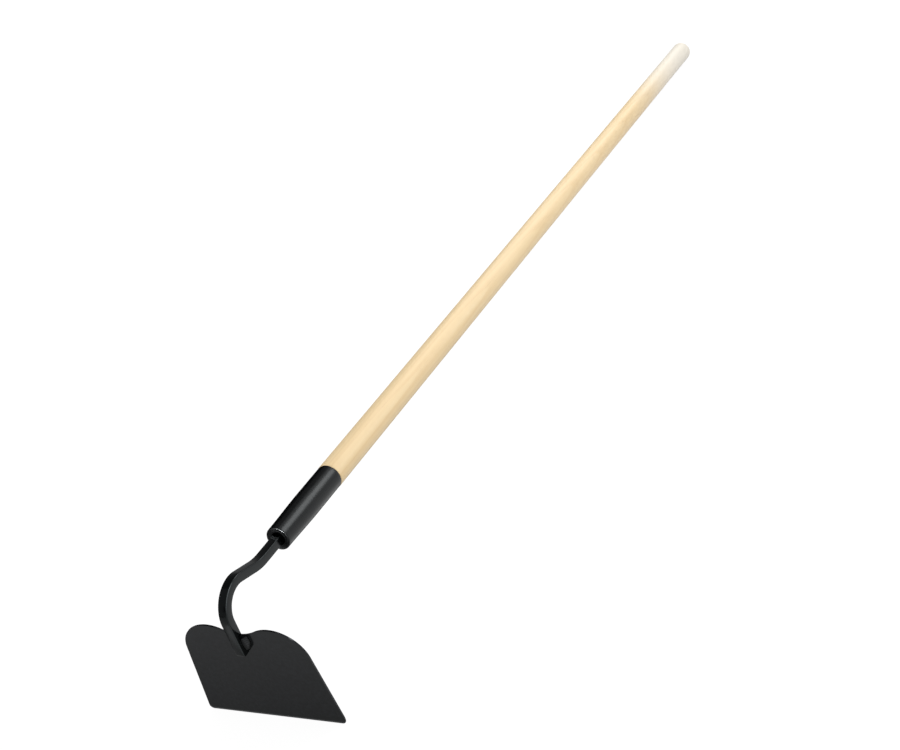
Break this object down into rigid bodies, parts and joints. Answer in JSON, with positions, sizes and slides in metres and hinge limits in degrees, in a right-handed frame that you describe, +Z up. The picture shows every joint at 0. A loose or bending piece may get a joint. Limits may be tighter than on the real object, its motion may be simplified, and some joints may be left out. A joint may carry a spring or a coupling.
{
  "type": "garden hoe",
  "caption": "Long-handled garden hoe: heart-shouldered steel blade welded to a square swan-neck shank, tubular ferrule and a straight ash handle.",
  "frame": {"origin": "on the floor that the hoe lies on, under the middle of its length and width", "axes": "+X from the blade towards the far end of the handle, +Y across the blade, +Z up from the floor; the hoe lies on its cutting edge and on the far end of its handle"},
  "size_m": [1.4474, 0.1578, 0.1614],
  "materials": {
    "ash_wood": "clear satin lacquer",
    "ferrule_paint": "semi-gloss black",
    "shank_paint": "semi-gloss black",
    "blade_paint": "satin black",
    "weld_paint": "semi-gloss black over a weld bead"
  },
  "bodies": {
    "root": {"handle": "ash_wood", "ferrule": "ferrule_paint", "shank": "shank_paint", "blade": "blade_paint", "weld_right": "weld_paint", "weld_left": "weld_paint"}
  },
  "joints": []
}
